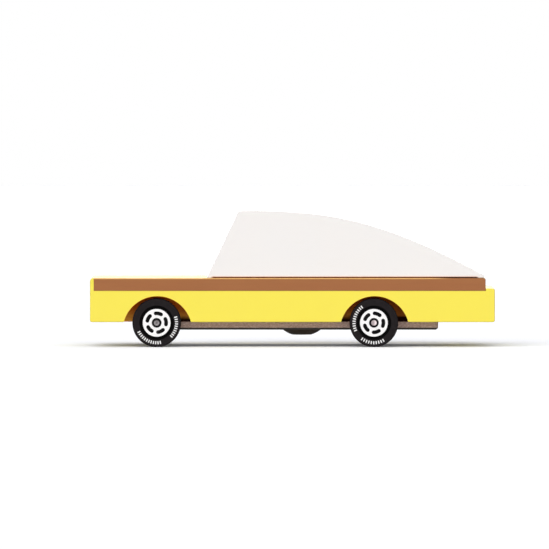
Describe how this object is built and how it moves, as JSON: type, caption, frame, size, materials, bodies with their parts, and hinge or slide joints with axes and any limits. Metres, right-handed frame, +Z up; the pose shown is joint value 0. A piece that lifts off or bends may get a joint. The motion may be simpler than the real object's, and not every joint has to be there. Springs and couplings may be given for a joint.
{
  "type": "wooden toy car",
  "caption": "Palm-size wooden toy car: painted block body with side bands, white fastback cabin, fibreboard chassis plate, and rubber-tyred wheels that roll freely on steel axles.",
  "frame": {"origin": "on the floor under the middle of the car's length and width", "axes": "+Z up, -X towards the nose and +X towards the tail, so the car's left side faces -Y"},
  "size_m": [0.085, 0.033, 0.0286],
  "materials": {
    "yellow_paint": "satin yellow paint on beech",
    "brown_band": "matt brown veneer",
    "white_paint": "satin white paint on beech",
    "raw_beech": "raw beech",
    "fibreboard": "raw fibreboard",
    "screw_bronze": "dark bronze",
    "axle_steel": "bright steel",
    "hub_plastic": "black moulded plastic",
    "disc_plastic": "white moulded plastic",
    "tyre_rubber": "matt black rubber"
  },
  "bodies": {
    "car_body": {"body_block": "yellow_paint", "side_band_left": "brown_band", "side_band_right": "brown_band", "cabin_block": "white_paint", "cabin_dowel_front": "raw_beech", "cabin_dowel_rear": "raw_beech", "chassis_plate": "fibreboard", "chassis_screw": "screw_bronze", "front_axle": "axle_steel", "rear_axle": "axle_steel"},
    "front_left_wheel": {"front_left_tyre": "tyre_rubber", "front_left_wheel_hub": "hub_plastic", "front_left_wheel_disc": "disc_plastic"},
    "front_right_wheel": {"front_right_tyre": "tyre_rubber", "front_right_wheel_hub": "hub_plastic", "front_right_wheel_disc": "disc_plastic"},
    "rear_left_wheel": {"rear_left_tyre": "tyre_rubber", "rear_left_wheel_hub": "hub_plastic", "rear_left_wheel_disc": "disc_plastic"},
    "rear_right_wheel": {"rear_right_tyre": "tyre_rubber", "rear_right_wheel_hub": "hub_plastic", "rear_right_wheel_disc": "disc_plastic"}
  },
  "joints": [
    {"name": "front_left_roll", "type": "hinge", "parent": "car_body", "child": "front_left_wheel", "pos_m": [-0.0285, -0.0141, 0.0051], "axis": [0, -1, 0], "continuous": true},
    {"name": "front_right_roll", "type": "hinge", "parent": "car_body", "child": "front_right_wheel", "pos_m": [-0.0285, 0.0141, 0.0051], "axis": [0, -1, 0], "continuous": true},
    {"name": "rear_left_roll", "type": "hinge", "parent": "car_body", "child": "rear_left_wheel", "pos_m": [0.0171, -0.0141, 0.0051], "axis": [0, -1, 0], "continuous": true},
    {"name": "rear_right_roll", "type": "hinge", "parent": "car_body", "child": "rear_right_wheel", "pos_m": [0.0171, 0.0141, 0.0051], "axis": [0, -1, 0], "continuous": true}
  ]
}
